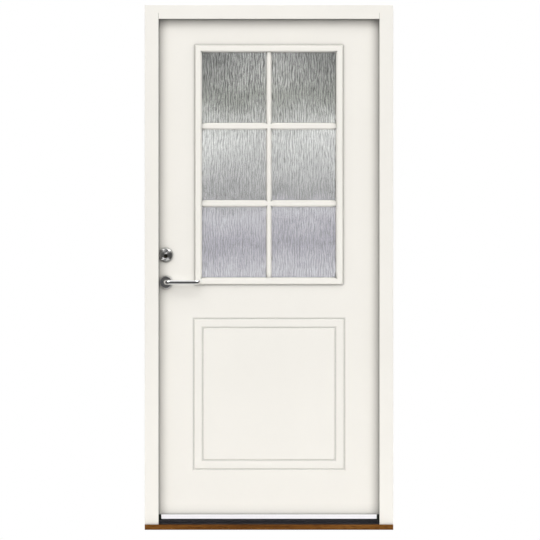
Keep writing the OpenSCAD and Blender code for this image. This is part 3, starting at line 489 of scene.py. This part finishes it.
def edge_shadow(x, z, edge, post, rails):
    """Shade on the glass close to the beads on four sides and to the bars."""
    half = (post[1].x - post[0].x) / 2.0
    bar_zs = (rails[0].z + half, rails[1].z - half)
    bar_x = (post[0].x + post[1].x) / 2.0
    bars = min([abs(x - bar_x) - half * POST_SHARE] + [abs(z - bar_z) - half for bar_z in bar_zs])
    shades = ((edge - FLAT_BORDER, BEAD_SHADOW), (bars, BAR_SHADOW))
    return max(depth * max(0.0, 1.0 - max(0.0, gap) / SHADOW_W) for gap, depth in shades)


def rippled_pane(node):
    low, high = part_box(node)
    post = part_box("outer_bar_post")
    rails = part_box("outer_bar_rails")
    columns = round((high.x - low.x) / STEP_X)
    rows = round((high.z - low.z) / STEP_Z)
    points = []
    ripples = []
    shadows = []
    for j in range(rows + 1):
        z = low.z + (high.z - low.z) * j / rows
        for i in range(columns + 1):
            x = low.x + (high.x - low.x) * i / columns
            edge = min(x - low.x, high.x - x, z - low.z, high.z - z)
            fade = clamp((edge - FLAT_BORDER + FADE_W) / FADE_W, 0.0, 1.0)
            value = reed(x, z)
            points.append((x, low.y + REED_DEPTH * fade * (0.5 - 0.5 * value), z))
            ripples.append(value)
            shadows.append(edge_shadow(x, z, edge, post, rails))
    wide = columns + 1
    faces = []
    for j in range(rows):
        for i in range(columns):
            a = j * wide + i
            faces.append((a, a + 1, a + wide + 1, a + wide))
    relief = len(faces)
    ring = list(range(columns))
    ring += [j * wide + columns for j in range(rows)]
    ring += [rows * wide + i for i in range(columns, 0, -1)]
    ring += [j * wide for j in range(rows, 0, -1)]
    start = len(points)
    count = len(ring)
    for index in ring:
        x, _, z = points[index]
        points.append((x, high.y, z))
        ripples.append(0.0)
        shadows.append(0.0)
    for k in range(count):
        n = (k + 1) % count
        faces.append((ring[n], ring[k], start + k, start + n))
    faces.append(tuple(start + k for k in range(count - 1, -1, -1)))
    mesh = bpy.data.meshes.new("rippled_pane")
    mesh.from_pydata(points, [], faces)
    for label, values in (("ripple", ripples), ("shadow", shadows)):
        mesh.attributes.new(label, "FLOAT", "POINT").data.foreach_set("value", values)
    for polygon in mesh.polygons:
        polygon.use_smooth = polygon.index < relief
    mesh.set_sharp_from_angle(angle=PANE_SHARP)
    mesh.materials.append(rippled_glass("rippled_glass", low.z, high.z, (high.x - low.x) / 2.0))
    pane = new_object("rippled_pane", mesh)
    stand_for(pane, node, "leaf")
    return pane


# Daylight passes the panes and reaches the bars and the spacers behind them
for pane in (rippled_pane("outer_pane"), nodes["middle_pane"], nodes["inner_pane"]):
    pane.visible_shadow = False
    pane.visible_diffuse = False


# Screws and bolts: a star-shaped drive recess with a pointed floor in each head

DRIVE_SHARE = 0.56
DRIVE_WAVE = 0.14
DRIVE_POINTS = 6
DRIVE_SIDES = 36
DRIVE_DEPTH = 0.0015
DRIVE_TIP = 0.0009
SCREW_SHARP = math.radians(35.0)
WELD = 1e-6
SAME_END = 1e-5
# Steel of the screws, with painted shade inside their drive recesses
driven_steel = metal("driven_steel", STEEL, low=0.26, high=0.42, shaded_corner=DRIVE_CORNER_SHADE)


def loose_parts(bm):
    """Vertex places of each separate solid in a mesh."""
    seen = set()
    for seed in bm.verts:
        if seed in seen:
            continue
        seen.add(seed)
        waiting = [seed]
        places = []
        while waiting:
            vert = waiting.pop()
            places.append(vert.co.copy())
            for edge in vert.link_edges:
                other = edge.other_vert(vert)
                if other not in seen:
                    seen.add(other)
                    waiting.append(other)
        yield places


def head_of(places):
    """Centre, radius, axis and outward sense of a screw's head, which is its wider end."""
    low = Vector([min(p[i] for p in places) for i in range(3)])
    high = Vector([max(p[i] for p in places) for i in range(3)])
    axis = max(range(3), key=lambda i: high[i] - low[i])
    ends = []
    for end, sense in ((low[axis], -1.0), (high[axis], 1.0)):
        centre = (low + high) / 2.0
        centre[axis] = end
        radius = max((p - centre).length for p in places if abs(p[axis] - end) < SAME_END)
        ends.append((radius, centre, sense))
    radius, centre, sense = max(ends, key=lambda item: item[0])
    return centre, radius, axis, sense


def drive_prism(bm, centre, radius, axis, sense):
    """A star-shaped prism that reaches into a head from just outside it and ends in a point."""
    across, up = [i for i in range(3) if i != axis]
    rings = []
    for offset in (-DRIVE_DEPTH, DRIVE_DEPTH):
        ring = []
        for k in range(DRIVE_SIDES):
            angle = 2.0 * math.pi * k / DRIVE_SIDES
            lobe = 1.0 - DRIVE_WAVE + DRIVE_WAVE * math.cos(DRIVE_POINTS * angle)
            place = centre.copy()
            place[axis] += sense * offset
            place[across] += radius * DRIVE_SHARE * lobe * math.cos(angle)
            place[up] += radius * DRIVE_SHARE * lobe * math.sin(angle)
            ring.append(bm.verts.new(place))
        rings.append(ring)
    floor_ring, open_ring = rings
    tip = centre.copy()
    tip[axis] -= sense * (DRIVE_DEPTH + DRIVE_TIP)
    point = bm.verts.new(tip)
    for k in range(DRIVE_SIDES):
        n = (k + 1) % DRIVE_SIDES
        bm.faces.new((floor_ring[k], floor_ring[n], open_ring[n], open_ring[k]))
        bm.faces.new((floor_ring[n], floor_ring[k], point))
    bm.faces.new(open_ring)


def driven_screws(node, body):
    """Replaces a node of screws by the same screws with drive recesses."""
    blank_bm = bmesh.new()
    blank_bm.from_mesh(nodes[node].data)
    bmesh.ops.remove_doubles(blank_bm, verts=blank_bm.verts, dist=WELD)
    cutter_bm = bmesh.new()
    for places in loose_parts(blank_bm):
        drive_prism(cutter_bm, *head_of(places))
    bmesh.ops.recalc_face_normals(cutter_bm, faces=cutter_bm.faces)
    pieces = []
    for label, bm in ((node + "_driven", blank_bm), (node + "_cutter", cutter_bm)):
        mesh = bpy.data.meshes.new(label)
        bm.to_mesh(mesh)
        bm.free()
        pieces.append(new_object(label, mesh))
    screws, cutter = pieces
    cut = screws.modifiers.new("drive", "BOOLEAN")
    cut.operation = "DIFFERENCE"
    cut.solver = "EXACT"
    cut.object = cutter
    shaped = screws.evaluated_get(bpy.context.evaluated_depsgraph_get())
    mesh = bpy.data.meshes.new_from_object(shaped)
    screws.modifiers.clear()
    screws.data = mesh
    bpy.data.objects.remove(cutter)
    drop_normals(mesh)
    mesh.shade_smooth()
    mesh.set_sharp_from_angle(angle=SCREW_SHARP)
    mesh.materials.clear()
    mesh.materials.append(driven_steel)
    stand_for(screws, node, body)


driven_screws("frame_screws", "frame")
for name in ("leaf_screws", "glazing_screws", "furniture_bolts"):
    driven_screws(name, "leaf")


# Floor: a pale disc that fades to white, and whose far part doesn't show in mirrors

FLOOR_R = 2.0
FLOOR_SIDES = 96
FLOOR_Z = -0.0005
FLOOR_COLOR = (0.90, 0.90, 0.90)
FLOOR_FADE = (0.9, 1.9)
FLOOR_MIRRORED = (0.5, 0.8)


def floor_finish():
    s = Shader("floor")
    s.set(Roughness=0.9)
    s.finish(s.shades(s.noise(scale=3.0), FLOOR_COLOR, (0.3, 0.985), (0.7, 1.0)))
    length = s.add("ShaderNodeVectorMath", operation="LENGTH")
    s.link(s.place, length.inputs[0])
    distance = length.outputs["Value"]
    path = s.add("ShaderNodeLightPath").outputs
    glow = s.add("ShaderNodeEmission").outputs["Emission"]
    gone = s.add("ShaderNodeBsdfTransparent").outputs["BSDF"]
    seen = s.math("MAXIMUM", path["Is Camera Ray"], path["Is Transmission Ray"])
    fade = s.math("MULTIPLY", s.step(distance, FLOOR_FADE), seen)
    far = s.math("MULTIPLY", s.step(distance, FLOOR_MIRRORED), path["Is Glossy Ray"])
    surface = s.mix_shader(far, s.mix_shader(fade, s.bsdf.outputs["BSDF"], glow), gone)
    s.link(surface, s.tree.nodes["Material Output"].inputs["Surface"])
    return s.material


def floor():
    angles = [2.0 * math.pi * i / FLOOR_SIDES for i in range(FLOOR_SIDES)]
    rim = [(FLOOR_R * math.cos(a), FLOOR_R * math.sin(a), FLOOR_Z) for a in angles]
    mesh = bpy.data.meshes.new("floor")
    mesh.from_pydata(rim, [], [tuple(range(FLOOR_SIDES))])
    mesh.materials.append(floor_finish())
    new_object("floor", mesh)


floor()


# World: white for the camera, soft light on the object, and a studio for mirrors

WORLD_LIGHT = 0.30

# What mirrors see: dark walls, a ceiling with a bright middle, and two panels with their strength
WALL_LEVEL = 0.10
CEILING_RISE = (0.60, 0.80)
CEILING_MIDDLE = (0.16, 0.30)
CEILING_SIDES = 0.25
PANELS = (((-0.32, -0.70, 0.64), 8.0), ((0.50, -0.45, 0.74), 16.0))
PANEL_EDGE = (0.965, 0.985)

# Where mirrors see the white background instead: behind the door, in a band near the horizon
BACKGROUND_START = (-0.05, 0.15)
BACKGROUND_EDGE = (0.34, 0.46)


def studio_world():
    world = bpy.data.worlds.new("studio")
    scene.world = world
    world.use_nodes = True
    w = Tree(world.node_tree)
    w.tree.nodes.clear()

    def background(color, strength):
        node = w.add("ShaderNodeBackground")
        node.inputs["Strength"].default_value = strength
        w.put(color, node.inputs["Color"])
        return node.outputs["Background"]

    path = w.add("ShaderNodeLightPath").outputs
    heading = w.add("ShaderNodeTexCoord").outputs["Generated"]
    way = w.axes(heading)
    middle = w.step(w.math("ABSOLUTE", way["X"]), CEILING_MIDDLE, 1.0, CEILING_SIDES)
    studio = w.math("MULTIPLY_ADD", w.step(way["Z"], CEILING_RISE), middle, WALL_LEVEL)
    for direction, strength in PANELS:
        facing = w.add("ShaderNodeVectorMath", operation="DOT_PRODUCT")
        facing.inputs[1].default_value = Vector(direction).normalized()
        w.link(heading, facing.inputs[0])
        panel = w.step(facing.outputs["Value"], PANEL_EDGE, 0.0, strength)
        studio = w.math("ADD", studio, panel)
    band = w.step(w.math("ABSOLUTE", way["Z"]), BACKGROUND_EDGE, 1.0, 0.0)
    behind = w.math("MULTIPLY", w.step(way["Y"], BACKGROUND_START), band)
    white = background(WHITE, 1.0)
    mirrored = w.mix_shader(behind, background(studio, 1.0), white)
    lit = w.mix_shader(path["Is Glossy Ray"], background(WHITE, WORLD_LIGHT), mirrored)
    seen = w.math("MAXIMUM", path["Is Camera Ray"], path["Is Transmission Ray"])
    output = w.add("ShaderNodeOutputWorld")
    w.link(w.mix_shader(seen, lit, white), output.inputs["Surface"])


studio_world()


# Lamps: two softboxes in front and one behind, each with its place, size and power

SOFTBOXES = (
    ("left_box", (-3.5, -6.0, 5.1), (7.0, 7.5), 323.0),
    ("right_box", (3.5, -6.0, 5.1), (7.0, 7.5), 346.0),
    ("back_box", (0.0, 6.0, 5.1), (8.0, 7.5), 480.0),
)
LAMP_AIM = (0.0, 0.0, 1.2)

for name, place, size, power in SOFTBOXES:
    lamp = bpy.data.lights.new(name, "AREA")
    lamp.shape = "RECTANGLE"
    lamp.size, lamp.size_y = size
    lamp.energy = power
    softbox = new_object(name, lamp)
    softbox.location = place
    softbox.rotation_euler = (Vector(LAMP_AIM) - Vector(place)).to_track_quat("-Z", "Y").to_euler()
    softbox.visible_glossy = False
    softbox.visible_transmission = False


# Camera: level and square to the door, as in the photograph

VIEW_W = 2.151
VIEW_PLACE = (0.004, -5.0, 1.035)
VIEW_FAR = 50.0

lens = bpy.data.cameras.new("camera")
lens.type = "ORTHO"
lens.ortho_scale = VIEW_W
lens.clip_end = VIEW_FAR
camera = new_object("camera", lens)
camera.location = VIEW_PLACE
camera.rotation_euler = (math.radians(90.0), 0.0, 0.0)
scene.camera = camera
scene.view_settings.view_transform = "Standard"
